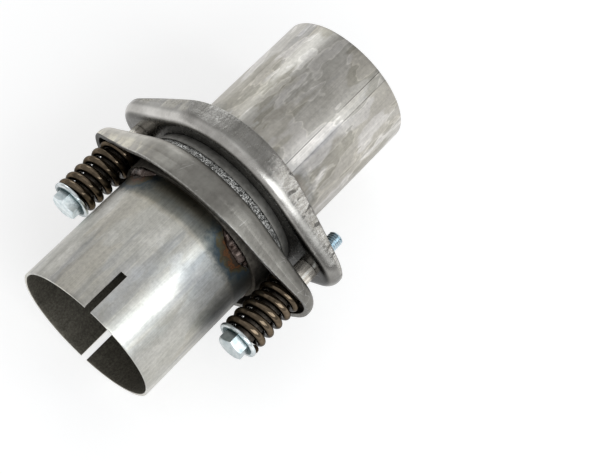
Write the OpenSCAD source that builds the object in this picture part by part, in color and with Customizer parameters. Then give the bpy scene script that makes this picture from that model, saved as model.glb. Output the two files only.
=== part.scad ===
// Spring-bolted ball joint for a round exhaust line. X runs along the pipe axis
// from the slotted socket end to the plain spigot end, Z is up, and the two bolts
// stand on the Y axis. Origin: pipe axis, midway between the two flange faces.
// All sizes are in millimetres.

/* [Pipes] */
// Outside diameter of the plain spigot pipe, and of the pipe that the socket takes
spigot_od = 76.2; // [60:0.1:90]
// Wall thickness of both pipes
pipe_wall = 1.5; // [1:0.1:3]
// Play on diameter with which the socket slides over a pipe
socket_play = 0.4; // [0.2:0.1:1]
// Distance from the origin to the open end of the socket
socket_reach = 91.2; // [60:0.2:140]
// Distance from the origin to the open end of the spigot
spigot_reach = 96.2; // [60:0.2:140]
// Width of the two clamping slots in the socket
slot_width = 3.5; // [2:0.1:6]
// Length of the clamping slots, from the open end
slot_length = 23.5; // [10:0.5:50]
// Turn of the slots about the pipe, from +Y towards +Z
slot_angle = 97; // [0:1:180]
// Length of a weld bead along the pipe, from the end of the flange neck
weld_leg = 4.4; // [2:0.2:8]
// Angle of pipe wall that each of the four weld beads of a flange covers
weld_span = 36; // [20:1:80]
// Turn of the first weld bead about the pipe, from the bolt line
weld_turn = 40; // [0:1:90]

/* [Flanges] */
// Distance between the two flange faces
face_gap = 10.1; // [6:0.1:20]
// Distance from the socket pipe to the rim of the round middle of a flange
flange_rim = 12.2; // [8:0.1:20]
// Room between a spring and the skirt around its ear
ear_room = 2.25; // [1:0.05:5]
// Thickness of the pressed sheet
sheet = 2.8; // [1.5:0.1:5]
// Outside radius of the bend between face and skirt
bend_r = 6; // [3:0.5:9]
// Depth of the skirt at the middle of the flange
skirt_depth = 16.4; // [8:0.1:25]
// Radius of the curve that the free edge of the skirt follows
edge_curve_r = 290; // [120:2:600]
// Depth of the drawn neck around the pipe hole, from the flange face
neck_depth = 14.4; // [5:0.2:20]
// Wall thickness of the drawn neck
neck_wall = 2.3; // [1:0.1:4]
// Distance from the socket pipe to the axis of each bolt
bolt_offset = 14.4; // [13:0.1:25]
// Room around the sleeves in the wide holes of the socket flange, for the tilt
wide_hole_room = 1.7; // [0.8:0.1:3]
// Room around the bolts in the holes of the spigot flange
bolt_hole_room = 0.4; // [0.1:0.1:1]

/* [Seat and seal] */
// Distance from the origin to the centre of the ball seat, on the socket side
ball_offset = 30; // [10:0.5:60]
// Clearance between seal ring and ball seat
seat_clearance = 0.3; // [0.05:0.05:0.5]
// Distance from the socket pipe to the outside of the seat cup at its rim
cup_width = 4.2; // [3.5:0.1:8]
// Wall of the seat cup at its rim
cup_wall = 0.6; // [0.4:0.1:3]
// Step inwards of the cup's outside, from its rim to its foot on the flange
cup_taper = 2; // [0.2:0.1:4]
// Height of the seat cup above the spigot flange
cup_height = 5.5; // [4:0.1:10]
// Thickness of the flat floor of the seat cup, around the pipe
cup_floor = 0.45; // [0.3:0.05:2]
// Thickness of the seal ring at its thin end
ring_lip = 0.9; // [0.5:0.1:2]
// Distance that the socket pipe reaches past the origin, through the seal ring
stub_reach = 1; // [0:0.1:3]
// Clearance between seal ring and socket flange
ring_back_gap = 0.3; // [0.1:0.1:1]

/* [Bolts, sleeves and springs] */
// Thread diameter of the bolts
bolt_d = 8; // [6:1:10]
// Width across the flats of bolt head and nut
hex_af = 13; // [10:0.1:17]
// Height of the bolt head
head_h = 5.5; // [4:0.1:8]
// Height of the weld nut
nut_h = 6.5; // [4:0.1:8]
// Distance that the bolt tip reaches past the origin
tip_reach = 27.5; // [18:0.5:40]
// Chamfer at the bolt tip
tip_chamfer = 1; // [0.2:0.1:2]
// Distance that the washer under the head stands out past the spring
washer_rim = 0.05; // [0:0.05:2]
// Thickness of the washer
washer_t = 1.6; // [1:0.1:3]
// Distance from the origin to the washer face that the spring bears on
washer_face = 44.3; // [35:0.1:60]
// Wall thickness of the spacer sleeve
sleeve_wall = 1.35; // [0.8:0.05:2]
// Radial clearance between bolt and sleeve, and in the washer
bolt_clearance = 0.25; // [0.1:0.05:0.5]
// Diameter of the spring wire
wire_d = 4.3; // [2:0.1:5]
// Room between sleeve and spring, for the tilt
spring_room = 0.85; // [0.8:0.05:3]
// Rise of each working coil
coil_pitch = 6; // [4.8:0.1:8]
// Number of closed turns at each spring end
closed_turns = 0.75; // [0.5:0.05:1.5]
// Height of the wire centre above the ground spring end
ground_height = 1.4; // [0.5:0.1:2]
// Angle at which the wire of the left spring starts, about its bolt
left_start = 75; // [0:5:355]
// Angle at which the wire of the right spring starts, about its bolt
right_start = 285; // [0:5:355]
// Clearance at both spring ends
spring_gap = 0.05; // [0.02:0.01:0.3]

/* [Fits] */
// Gap between parts of one side that are joined by welding or tightening
joined_gap = 0.05; // [0.02:0.01:0.1]

/* [Hidden] */
$fa = 4;
$fs = 0.6;
spigot_r = spigot_od / 2;
socket_r = spigot_r + socket_play / 2 + pipe_wall;
face_x = face_gap / 2;
bolt_y = socket_r + bolt_offset;
bolt_r = bolt_d / 2;
bolt_hole_r = bolt_r + bolt_hole_room;
sleeve_bore_r = bolt_r + bolt_clearance;
sleeve_r = sleeve_bore_r + sleeve_wall;
wide_hole_r = sleeve_r + wide_hole_room;
coil_r = sleeve_r + spring_room + wire_d / 2;
spring_r = coil_r + wire_d / 2;
washer_r = spring_r + washer_rim;
ear_r = spring_r + ear_room + sheet;
body_r = socket_r + flange_rim;
cup_r = socket_r + cup_width;
cup_foot_r = cup_r - cup_taper;
cup_rim_x = face_x - cup_height;
ball_r = norm([ball_offset + cup_rim_x, cup_r - cup_wall]);
cup_floor_x = face_x - cup_floor;
ring_bore_r = socket_r + joined_gap;
inner_face_x = face_x + sheet;
hex_r = hex_af / 2 / cos(30);
nut_x = inner_face_x + joined_gap;
head_x = -washer_face - washer_t;
closed_pitch = wire_d + 0.1;
spring_length = washer_face - inner_face_x - 2 * spring_gap;
working_rise = spring_length - 2 * ground_height - 2 * closed_turns * closed_pitch;
working_turns = working_rise / coil_pitch;
all_turns = working_turns + 2 * closed_turns;
turn_steps = 20;
wire_sides = 10;
spring_steps = round(all_turns * turn_steps);

// Local Z of the child runs along +X, towards the spigot end
module to_spigot(x) translate([x, 0, 0]) rotate([0, 90, 0]) children();

// Local Z of the child runs along -X, towards the socket end
module to_socket(x) translate([x, 0, 0]) rotate([0, -90, 0]) children();

// Puts the child on the left bolt (+Y) or the right bolt (-Y)
module at_bolt(side) translate([0, side * bolt_y, 0]) children();

module ring_z(outer, inner, length) {
    difference() {
        cylinder(r = outer, h = length);
        translate([0, 0, -1]) cylinder(r = inner, h = length + 2);
    }
}

// Disc with a rounded front edge, the blank shape of one lobe of a flange
module lobe(r, bend, front, back, sides) {
    rotate([0, 0, 180 / sides])
    rotate_extrude($fn = sides)
    polygon([
        [0, front],
        for (a = [0 : 18 : 90]) [r - bend + bend * sin(a), front + bend - bend * cos(a)],
        [r, back],
        [0, back]
    ]);
}

module lobes(inset, front, back) {
    hull() {
        lobe(body_r - inset, bend_r - inset, front, back, 64);
        translate([0, bolt_y, 0]) lobe(ear_r - inset, bend_r - inset, front, back, 32);
        translate([0, -bolt_y, 0]) lobe(ear_r - inset, bend_r - inset, front, back, 32);
    }
}

// Pressed flange with its face at Z = 0, its skirt and its neck along +Z
module pressed_flange(pipe_r, hole_r) {
    difference() {
        union() {
            flange_shell();
            cylinder(r = pipe_r + joined_gap + neck_wall, h = neck_depth);
        }
        translate([0, 0, -1]) cylinder(r = pipe_r + joined_gap, h = neck_depth + 2);
        translate([0, bolt_y, -1]) cylinder(r = hole_r, h = sheet + 2);
        translate([0, -bolt_y, -1]) cylinder(r = hole_r, h = sheet + 2);
    }
}

// Lens-shaped dish of even sheet, whose free edge follows a wide curve
module flange_shell() {
    difference() {
        intersection() {
            lobes(0, 0, skirt_depth + 4);
            translate([0, 0, skirt_depth - edge_curve_r]) rotate([0, 90, 0])
                cylinder(r = edge_curve_r, h = 4 * body_r, center = true);
        }
        lobes(sheet, sheet, skirt_depth + 6);
    }
}

// Four round fillet beads between the neck end of a flange, at Z = 0, and its pipe
module weld_beads(pipe_r) {
    root = pipe_r + joined_gap;
    for (turn = [weld_turn, 180 - weld_turn, 180 + weld_turn, 360 - weld_turn])
        rotate([0, 0, turn - weld_span / 2]) rotate_extrude(angle = weld_span)
            polygon([
                [root, joined_gap],
                for (a = [90 : -15 : 0]) [
                    root + neck_wall * (sin(a) + 0.16 * sin(2 * a)),
                    joined_gap + weld_leg * (cos(a) + 0.1 * sin(2 * a))
                ]
            ]);
}

function coil_height(turn) =
    ground_height
    + closed_pitch * min(turn, closed_turns)
    + coil_pitch * min(max(turn - closed_turns, 0), working_turns)
    + closed_pitch * max(turn - closed_turns - working_turns, 0);

function wire_point(step, side) =
    let (turn = step / turn_steps,
        a = 360 * turn,
        lean = atan(coil_pitch / (2 * PI * coil_r)),
        s = 360 * side / wire_sides,
        out = coil_r + wire_d / 2 * cos(s),
        up = wire_d / 2 * sin(s))
    [
        out * cos(a) + up * sin(lean) * sin(a),
        out * sin(a) - up * sin(lean) * cos(a),
        coil_height(turn) + up * cos(lean)
    ];

module coil() {
    points = [for (i = [0 : spring_steps], j = [0 : wire_sides - 1]) wire_point(i, j)];
    last = spring_steps * wire_sides;
    sides = [for (i = [0 : spring_steps - 1], j = [0 : wire_sides - 1], half = [0, 1])
        let (k = (j + 1) % wire_sides, a = i * wire_sides, b = a + wire_sides)
        half == 0 ? [a + j, b + j, b + k] : [a + j, b + k, a + k]];
    ends = [
        [for (j = [0 : wire_sides - 1]) j],
        [for (j = [wire_sides - 1 : -1 : 0]) last + j]
    ];
    polyhedron(points, concat(sides, ends), convexity = 12);
}

// Coil spring with closed, flat-ground ends, standing on Z = 0
module ground_spring(start) {
    intersection() {
        rotate([0, 0, start]) coil();
        cylinder(r = 2 * spring_r, h = spring_length, $fn = 12);
    }
}

module slot_cut(turn) {
    rotate([turn, 0, 0])
        translate([-socket_reach - 1, 0, -slot_width / 2])
            cube([slot_length + 1, socket_r + 1, slot_width]);
}

module socket_pipe() {
    color([0.66, 0.64, 0.6]) difference() {
        to_spigot(-socket_reach)
            ring_z(socket_r, socket_r - pipe_wall, socket_reach + stub_reach);
        slot_cut(slot_angle);
        slot_cut(slot_angle + 180);
    }
}

module socket_flange() {
    color([0.5, 0.5, 0.48]) to_socket(-face_x) pressed_flange(socket_r, wide_hole_r);
}

module socket_welds() {
    color([0.45, 0.36, 0.28]) to_socket(-face_x - neck_depth) weld_beads(socket_r);
}

module seal_ring() {
    back_x = face_x - ring_back_gap;
    r = ball_r - seat_clearance;
    a0 = asin((ring_bore_r + ring_lip) / r);
    a1 = acos((ball_offset - back_x) / r);
    color([0.75, 0.75, 0.74]) to_spigot(0) rotate_extrude()
    polygon([
        for (i = [0 : 16]) let (a = a0 + (a1 - a0) * i / 16)
            [r * sin(a), r * cos(a) - ball_offset],
        [ring_bore_r, -back_x],
        [ring_bore_r, r * cos(a0) - ball_offset]
    ]);
}

module seat_cup() {
    bore = spigot_r + joined_gap;
    a0 = acos((ball_offset + cup_floor_x) / ball_r);
    a1 = acos((ball_offset + cup_rim_x) / ball_r);
    color([0.24, 0.23, 0.22]) to_spigot(0) rotate_extrude()
    polygon([
        [bore, face_x],
        [bore, cup_floor_x],
        for (i = [0 : 16]) let (a = a0 + (a1 - a0) * i / 16)
            [ball_r * sin(a), ball_r * cos(a) - ball_offset],
        [cup_r, cup_rim_x],
        [cup_r - 0.2, cup_rim_x + 2],
        [cup_foot_r, face_x - 1],
        [cup_foot_r, face_x]
    ]);
}

module spigot_flange() {
    color([0.52, 0.51, 0.5]) to_spigot(face_x) pressed_flange(spigot_r, bolt_hole_r);
}

module spigot_pipe() {
    color([0.7, 0.68, 0.65]) to_spigot(cup_floor_x)
        ring_z(spigot_r, spigot_r - pipe_wall, spigot_reach - cup_floor_x);
}

module spigot_welds() {
    color([0.45, 0.36, 0.28]) to_spigot(face_x + neck_depth) weld_beads(spigot_r);
}

module bolt(side) {
    color([0.72, 0.78, 0.8]) at_bolt(side) {
        to_spigot(head_x - head_h) intersection() {
            cylinder(r = hex_r, h = head_h, $fn = 6);
            cylinder(r1 = hex_af / 2 - 0.3, r2 = hex_af / 2 - 0.3 + head_h * 1.8, h = head_h);
        }
        to_spigot(head_x) rotate_extrude() polygon([
            [0, 0],
            [bolt_r, 0],
            [bolt_r, tip_reach - head_x - tip_chamfer],
            [bolt_r - tip_chamfer, tip_reach - head_x],
            [0, tip_reach - head_x]
        ]);
    }
}

module washer(side) {
    color([0.74, 0.8, 0.82]) at_bolt(side)
        to_spigot(-washer_face - washer_t) ring_z(washer_r, sleeve_bore_r, washer_t);
}

module spring(side, start) {
    color([0.3, 0.24, 0.18]) at_bolt(side)
        to_spigot(-washer_face + spring_gap) ground_spring(start);
}

module sleeve(side) {
    color([0.6, 0.6, 0.58]) at_bolt(side)
        to_spigot(-washer_face) ring_z(sleeve_r, sleeve_bore_r, washer_face + face_x);
}

module nut(side) {
    color([0.55, 0.55, 0.53]) at_bolt(side) to_spigot(nut_x) difference() {
        intersection() {
            cylinder(r = hex_r, h = nut_h, $fn = 6);
            cylinder(r1 = hex_af / 2 + nut_h * 1.8, r2 = hex_af / 2 - 0.1, h = nut_h);
        }
        translate([0, 0, -1]) cylinder(r = bolt_r + joined_gap, h = nut_h + 2);
    }
}

socket_pipe();
socket_flange();
socket_welds();
seal_ring();
seat_cup();
spigot_flange();
spigot_pipe();
spigot_welds();
bolt(1);  // bolt_left
bolt(-1);  // bolt_right
washer(1);  // washer_left
washer(-1);  // washer_right
spring(1, left_start);  // spring_left
spring(-1, right_start);  // spring_right
sleeve(1);  // sleeve_left
sleeve(-1);  // sleeve_right
nut(1);  // nut_left
nut(-1);  // nut_right
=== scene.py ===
# %% [markdown]
# # A spring-bolted ball joint for round steel pipe
#
# The joint sits between two exhaust pipes and lets them tilt. A ring of
# pressed wire turns in a cup like a ball in its seat, and two bolts with
# springs pull the two halves together. The exact solids come from CAD. This
# script dresses them: each step makes a family of pieces again with finer
# shape, gives it a procedural metal, and ties it to the body that carries it.
#
# Shape functions work in millimetres, in the frame of the part. X runs along
# the pipe from the slotted socket to the plain spigot, Z is up, and the bolts
# stand on the Y axis.

# %% Load the frame
import math

import bpy
import numpy as np
import mathutils
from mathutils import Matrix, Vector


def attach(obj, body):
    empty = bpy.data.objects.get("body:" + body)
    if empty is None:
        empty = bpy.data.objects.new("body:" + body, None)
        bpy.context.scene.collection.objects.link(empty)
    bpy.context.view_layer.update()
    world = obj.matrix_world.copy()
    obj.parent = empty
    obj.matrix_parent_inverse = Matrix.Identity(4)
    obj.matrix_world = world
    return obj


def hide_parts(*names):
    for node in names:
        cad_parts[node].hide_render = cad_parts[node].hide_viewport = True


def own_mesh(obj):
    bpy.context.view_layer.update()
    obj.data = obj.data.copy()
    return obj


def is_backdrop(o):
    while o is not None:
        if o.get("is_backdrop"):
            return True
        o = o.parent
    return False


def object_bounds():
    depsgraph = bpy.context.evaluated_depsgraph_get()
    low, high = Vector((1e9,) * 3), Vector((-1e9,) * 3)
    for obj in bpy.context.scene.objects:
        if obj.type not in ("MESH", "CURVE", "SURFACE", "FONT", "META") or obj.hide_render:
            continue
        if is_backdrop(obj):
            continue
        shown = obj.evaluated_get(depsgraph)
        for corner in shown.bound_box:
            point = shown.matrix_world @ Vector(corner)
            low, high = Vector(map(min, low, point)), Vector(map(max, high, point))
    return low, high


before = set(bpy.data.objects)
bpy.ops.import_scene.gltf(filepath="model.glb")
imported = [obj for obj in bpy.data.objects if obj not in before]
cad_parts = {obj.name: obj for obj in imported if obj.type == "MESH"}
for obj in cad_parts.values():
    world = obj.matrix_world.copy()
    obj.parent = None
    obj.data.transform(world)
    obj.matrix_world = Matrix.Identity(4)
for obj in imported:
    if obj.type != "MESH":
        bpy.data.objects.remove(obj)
cad_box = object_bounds()
MM = 0.001

# %% [markdown]
# ## Sizes that pieces share
#
# A pipe, its flange, its welds and its steel all ask for the same radius, so
# sizes that several pieces share stand here once. The outside of the seal and
# the inside of the cup are balls about one centre at ball_x, and the radius
# of that ball follows from the rim of the cup.

# %% Shared sizes
socket_r, spigot_r, pipe_wall = 39.8, 38.1, 1.5
socket_end, spigot_end = -91.2, 96.2
face_x, sheet = 5.05, 2.8
neck_depth, neck_wall, fit = 14.4, 2.3, 0.05
bolt_y = 54.2
weld_turns = (40, 140, 220, 320)
ball_x, cup_rim_x, cup_floor_x = -30.0, -0.45, 4.6
cup_r, cup_foot_r, cup_wall = 44.0, 42.0, 0.6
ball_r = math.hypot(cup_rim_x - ball_x, cup_r - cup_wall)
print("length over all:", spigot_end - socket_end, "mm, ball radius:", round(ball_r, 2), "mm")

# %% [markdown]
# ## Mesh helpers
#
# Most of the pieces are turned, drawn or pressed, so a mesh from computed
# rings of points follows them more exactly than modelling by hand. `piece`
# turns points and faces into an object with smooth shading that breaks at
# real edges. `revolve` spins a profile of (x, radius) pairs about an axis
# along X.

# %% Pieces from points
def piece(name, points, faces, material, edge_angle=32):
    mesh = bpy.data.meshes.new(name)
    mesh.from_pydata((np.asarray(points, float) * MM).tolist(), [], faces)
    mesh.validate()
    mesh.polygons.foreach_set("use_smooth", [True] * len(mesh.polygons))
    mesh.set_sharp_from_angle(angle=math.radians(edge_angle))
    mesh.materials.append(material)
    obj = bpy.data.objects.new(name, mesh)
    bpy.context.scene.collection.objects.link(obj)
    return obj


def revolve(profile, steps, shift_y=0.0):
    """A closed profile of (x, r) pairs, spun once round X."""
    turns = np.radians(360.0 * np.arange(steps) / steps)
    profile = np.asarray(profile, float)
    n, m = steps, len(profile)
    points = np.empty((n, m, 3))
    points[..., 0] = profile[:, 0]
    points[..., 1] = shift_y + np.cos(turns)[:, None] * profile[:, 1]
    points[..., 2] = np.sin(turns)[:, None] * profile[:, 1]
    faces = []
    for i in range(n):
        k = (i + 1) % n
        for j in range(m):
            l = (j + 1) % m
            faces.append((i * m + j, i * m + l, k * m + l, k * m + j))
    return points.reshape(-1, 3), faces


print("helpers: piece and revolve")

# %% [markdown]
# Two modifiers finish a piece where points alone are clumsy. A boolean drills
# holes, and a bevel takes the sharpness off real edges, so that they catch a
# thin line of light. Both are applied at once, so the mesh is final.

# %% Cutting and softening
def cut(obj, cutter):
    """Takes the cutter's volume out of obj, and removes the cutter."""
    tool = obj.modifiers.new("cut", "BOOLEAN")
    tool.operation, tool.solver, tool.object = "DIFFERENCE", "EXACT", cutter
    bpy.context.view_layer.objects.active = obj
    bpy.ops.object.modifier_apply(modifier=tool.name)
    bpy.data.objects.remove(cutter, do_unlink=True)


def soften(obj, width, angle):
    """Rounds the edges of obj that are sharper than angle, by width millimetres."""
    tool = obj.modifiers.new("soften", "BEVEL")
    tool.width, tool.segments = width * MM, 2
    tool.limit_method, tool.angle_limit = "ANGLE", math.radians(angle)
    tool.harden_normals = False
    bpy.context.view_layer.objects.active = obj
    bpy.ops.object.modifier_apply(modifier=tool.name)
    obj.data.polygons.foreach_set("use_smooth", [True] * len(obj.data.polygons))
    obj.data.set_sharp_from_angle(angle=math.radians(40))


print("helpers: cut and soften")

# %% [markdown]
# ## Node helpers
#
# A metal here needs dozens of small shader nodes. `feed` links a socket when
# it gets another socket, and sets it when it gets a plain value. With it,
# each kind of node becomes a function that reads like a sum.

# %% Nodes as functions
def feed(tree, socket, value):
    """Links a socket to a value that changes over the surface, or sets a plain one."""
    if isinstance(value, bpy.types.NodeSocket):
        tree.links.new(value, socket)
    elif socket.type == "RGBA" and len(value) == 3:
        socket.default_value = (*value, 1)
    else:
        socket.default_value = value


def node(tree, kind, *values, **settings):
    """Adds a node and feeds its sockets in their order. None leaves one as it is."""
    made = tree.nodes.new("ShaderNode" + kind)
    for key, setting in settings.items():
        setattr(made, key, setting)
    for socket, value in zip(made.inputs, values):
        if value is not None:
            feed(tree, socket, value)
    return made


def calc(tree, operation, *values, clamp=False):
    return node(tree, "Math", *values, operation=operation, use_clamp=clamp).outputs[0]


def vector(tree, operation, *values):
    made = node(tree, "VectorMath", *values, operation=operation)
    return made.outputs["Value" if operation == "LENGTH" else "Vector"]


def noise(tree, place, scale, detail, roughness=0.5):
    return node(tree, "TexNoise", place, None, scale, detail, roughness).outputs[0]


print("node helpers: feed, node, calc, vector, noise")

# %% [markdown]
# `fade` goes from one level to another while a value crosses a range. `ramp`
# turns a value into tones. `mix` joins two colours by a mask, and `shade`
# multiplies a colour, which is how dirt and films lie over metal.

# %% Tones
def fade(tree, value, start, stop, low=0.0, high=1.0):
    """From low to high with soft ends, while value goes from start to stop."""
    made = node(tree, "MapRange", value, start, stop, low, high, interpolation_type="SMOOTHSTEP")
    return made.outputs[0]


def stretch(tree, value, start, stop, low=0.0, high=1.0):
    """From low to high in a straight line, while value goes from start to stop."""
    return node(tree, "MapRange", value, start, stop, low, high).outputs[0]


def ramp(tree, value, stops):
    """A colour ramp with stops of (place, grey or colour)."""
    made = node(tree, "ValToRGB", value)
    bar = made.color_ramp.elements
    while len(bar) < len(stops):
        bar.new(0.5)
    for stop, (place, tone) in zip(bar, stops):
        stop.position = place
        stop.color = (*tone, 1) if isinstance(tone, tuple) else (tone,) * 3 + (1,)
    return made.outputs["Color"]


def mix(tree, factor, first, second, blend="MIX"):
    """Mixes two colours. Each may be a socket, or a colour as three numbers."""
    made = node(tree, "Mix", data_type="RGBA", blend_type=blend)
    for place, value in ((0, factor), (6, first), (7, second)):
        feed(tree, made.inputs[place], value)
    return made.outputs[2]


def shade(tree, tone, by, where=1.0):
    """The tone multiplied by a colour or value, where a mask says so."""
    return mix(tree, where, tone, by, "MULTIPLY")


print("tone helpers: fade, stretch, ramp, mix, shade")

# %% [markdown]
# ## Shared surface effects
#
# Effects that several metals use are node groups, built once. Each takes a
# position in metres and gives back values, colours or a normal. The shader
# itself stays in the material, so its plain numbers can be read there.
# `group` starts one, `give` ends it, and `use` places it in a material.

# %% Start and use of a group
WHITE = (1.0, 1.0, 1.0, 1.0)


def group(name, inputs):
    """Starts a node group. An input is a label with a number, an arrow of 3 or a colour of 4."""
    tree = bpy.data.node_groups.new(name, "ShaderNodeTree")
    for label, value in {"Position": (0.0, 0.0, 0.0), **inputs}.items():
        kind = "Float" if isinstance(value, float) else {3: "Vector", 4: "Color"}[len(value)]
        socket = tree.interface.new_socket(label, in_out="INPUT", socket_type="NodeSocket" + kind)
        socket.default_value = value
    return tree, tree.nodes.new("NodeGroupInput").outputs


def give(tree, **values):
    """Ends a node group: makes an output of the right kind for each labelled value."""
    kinds = {"VALUE": "Float", "VECTOR": "Vector", "RGBA": "Color"}
    for label, value in values.items():
        tree.interface.new_socket(label, in_out="OUTPUT", socket_type="NodeSocket" + kinds[value.type])
    outputs = tree.nodes.new("NodeGroupOutput").inputs
    for label, value in values.items():
        feed(tree, outputs[label], value)


def use(tree, shared, position, **values):
    """Places a shared group in a material, feeds it by label, and gives its outputs."""
    made = tree.nodes.new("ShaderNodeGroup")
    made.node_tree = shared
    for label, value in dict(values, Position=position).items():
        feed(tree, made.inputs[label], value)
    return made.outputs


print("group helpers: group, use and give")

# %% [markdown]
# ### Long streaks
#
# Tube is drawn and rolled along its length, so its marks run along X. Noise
# that is squeezed across the pipe and pulled out along it gives such streaks
# without a single image. `Across` is the number of streaks per metre round
# the pipe, and `Along` sets how soon a streak ends.

# %% Long streaks
streaks, given = group("long streaks", {"Across": 900.0, "Along": 40.0})
scale = node(streaks, "CombineXYZ", given["Along"], given["Across"], given["Across"]).outputs[0]
squeezed = vector(streaks, "MULTIPLY", given["Position"], scale)
give(streaks, Value=noise(streaks, squeezed, 1.0, 4.0, 0.62))
print("group:", streaks.name)

# %% [markdown]
# ### Mill patches
#
# Cleaning and handling leave long cloudy patches whose borders are crisp.
# Plain noise has no borders, so a steep fade cuts it at its middle level.

# %% Mill patches
patches, given = group("mill patches", {"Size": 60.0, "Crispness": 0.12})
pulled_out = vector(patches, "MULTIPLY", given["Position"], (0.34, 1.0, 1.0))
cloud = noise(patches, pulled_out, given["Size"], 3.0, 0.55)
low = calc(patches, "SUBTRACT", 0.5, given["Crispness"])
high = calc(patches, "ADD", 0.5, given["Crispness"])
give(patches, Value=fade(patches, cloud, low, high))
print("group:", patches.name)

# %% [markdown]
# ### Heat tint
#
# Steel next to a weld oxidises in rings: brown at the bead, then a thin
# orange line, olive, and a blue rim. The four beads of a flange are mirror
# images of each other, so folding Y and Z with their absolute values leaves
# one bead to measure from. `Mask` is 1 at the bead.

# %% Heat tint
heat, given = group("heat tint", {"Bead": (0.0, 0.0, 0.0), "Reach": 0.016})
folded = vector(heat, "ABSOLUTE", given["Position"])
apart = vector(heat, "SUBTRACT", folded, vector(heat, "ABSOLUTE", given["Bead"]))
far_off = vector(heat, "LENGTH", vector(heat, "MULTIPLY", apart, (1.15, 0.72, 0.72)))
ragged = calc(heat, "MULTIPLY_ADD", noise(heat, given["Position"], 260.0, 4.0, 0.65), 0.011, -0.0055)
share = calc(heat, "DIVIDE", calc(heat, "ADD", far_off, ragged), given["Reach"])
give(heat, Mask=fade(heat, share, 1.0, 0.5), Color=ramp(heat, share, [
    (0.0, (0.06, 0.045, 0.035)), (0.26, (0.04, 0.026, 0.018)),
    (0.31, (0.13, 0.05, 0.016)), (0.35, (0.05, 0.033, 0.02)),
    (0.46, (0.07, 0.06, 0.034)), (0.56, (0.035, 0.055, 0.072)),
    (0.72, (0.065, 0.08, 0.084)), (1.0, (0.13, 0.13, 0.11)),
]))
print("group:", heat.name)

# %% [markdown]
# ### Heat band and painted reflection
#
# A dark band with a fairly sharp border runs right round the end of the tube.
# It is partly heat tint, as the whole end was hot while its four beads were
# laid, and partly a painted reflection of the dark underside of the flange.
# `Border` is how far from the middle of the joint the band reaches, in metres.

# %% Heat band and painted reflection
band, given = group("heat band", {"Border": 0.0315})
away = calc(band, "ABSOLUTE", node(band, "SeparateXYZ", given["Position"]).outputs[0])
ragged = calc(band, "MULTIPLY_ADD", noise(band, given["Position"], 55.0, 4.0, 0.6), 0.005, -0.0025)
past = calc(band, "SUBTRACT", calc(band, "ADD", away, ragged), given["Border"])
give(band, Color=ramp(band, stretch(band, past, 0.002, -0.010), [
    (0.0, (1.0, 1.0, 1.0)), (0.14, (0.84, 0.82, 0.78)), (0.3, (0.42, 0.43, 0.42)),
    (0.6, (0.26, 0.275, 0.275)), (1.0, (0.24, 0.225, 0.19)),
]))
print("group:", band.name)

# %% [markdown]
# ### Scratches
#
# Noise that is pulled out along one line has long, nearly straight contours.
# A scratch is a thin strip along such a contour, and a second noise keeps
# only a few short lengths of it. `Turn` leans the lines, and a higher
# `Amount` leaves fewer of them.

# %% Scratches
scratches, given = group("scratches", {"Turn": (0.5, 0.3, 0.9), "Amount": 0.6})
leaning = node(scratches, "VectorRotate", given["Position"], None, None, None, given["Turn"],
               rotation_type="EULER_XYZ").outputs[0]
hills = noise(scratches, vector(scratches, "MULTIPLY", leaning, (10.0, 300.0, 300.0)), 1.0, 0.0)
off_contour = calc(scratches, "ABSOLUTE", calc(scratches, "SUBTRACT", hills, 0.5))
line = stretch(scratches, off_contour, 0.014, 0.004)
places = noise(scratches, given["Position"], 130.0, 2.0)
kept = stretch(scratches, places, given["Amount"], calc(scratches, "ADD", given["Amount"], 0.06))
give(scratches, Value=calc(scratches, "MULTIPLY", line, kept, clamp=True))
print("group:", scratches.name)

# %% [markdown]
# ### Fine grain and draw marks
#
# Two small reliefs. An even grain breaks up reflections, as on any rolled
# sheet. Draw marks run along X, where the press pulled the sheet over its
# edge. They are too shallow for a mesh, so a bump carries them.

# %% Relief groups
def bump(tree, height, strength, distance, normal=None):
    made = node(tree, "Bump")
    feed(tree, made.inputs["Height"], height)
    feed(tree, made.inputs["Strength"], strength)
    feed(tree, made.inputs["Distance"], distance)
    if normal:
        feed(tree, made.inputs["Normal"], normal)
    return made.outputs[0]


grain, given = group("fine grain", {"Scale": 1500.0, "Strength": 0.1})
specks = noise(grain, given["Position"], given["Scale"], 5.0, 0.6)
give(grain, Normal=bump(grain, specks, given["Strength"], 0.0002))

drawn, given = group("draw marks", {"Strength": 0.3, "Normal": (0.0, 0.0, 0.0)})
pulled_out = vector(drawn, "MULTIPLY", given["Position"], (0.22, 1.0, 1.0))
deep = fade(drawn, noise(drawn, pulled_out, 620.0, 5.0, 0.68), 0.35, 0.68)
give(drawn, Normal=bump(drawn, deep, given["Strength"], 0.0004, given["Normal"]), Value=deep)
print("groups:", grain.name, "and", drawn.name)

# %% [markdown]
# ## Metals
#
# Every metal starts the same way: one Principled shader with its plain
# numbers on its own sockets, and the object's coordinates, which stay with
# the piece when the joint moves. `rim` dims a metal where it is seen at a low
# angle, as oil and scale do. Bright metal keeps it at 1.

# %% Start of a metal
def metal(name, metallic=1.0, roughness=0.35, rim=1.0):
    material = bpy.data.materials.new(name)
    material.use_nodes = True
    tree = material.node_tree
    shader = tree.nodes["Principled BSDF"].inputs
    shader["Metallic"].default_value = metallic
    shader["Roughness"].default_value = roughness
    shader["Specular Tint"].default_value = (rim, rim, rim, 1)
    return material, tree, shader, node(tree, "TexCoord").outputs["Object"]


print("metals start with metal()")

# %% [markdown]
# ### Tube steel, layer by layer
#
# The pipes are bare tube, warm grey and satin. One noise would look like
# stone, so the colour is built as the tube got it, and each layer is a group
# that both tubes share. First come the streaks and specks of the mill. The
# group also gives out its fields, because later layers follow them.

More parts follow.
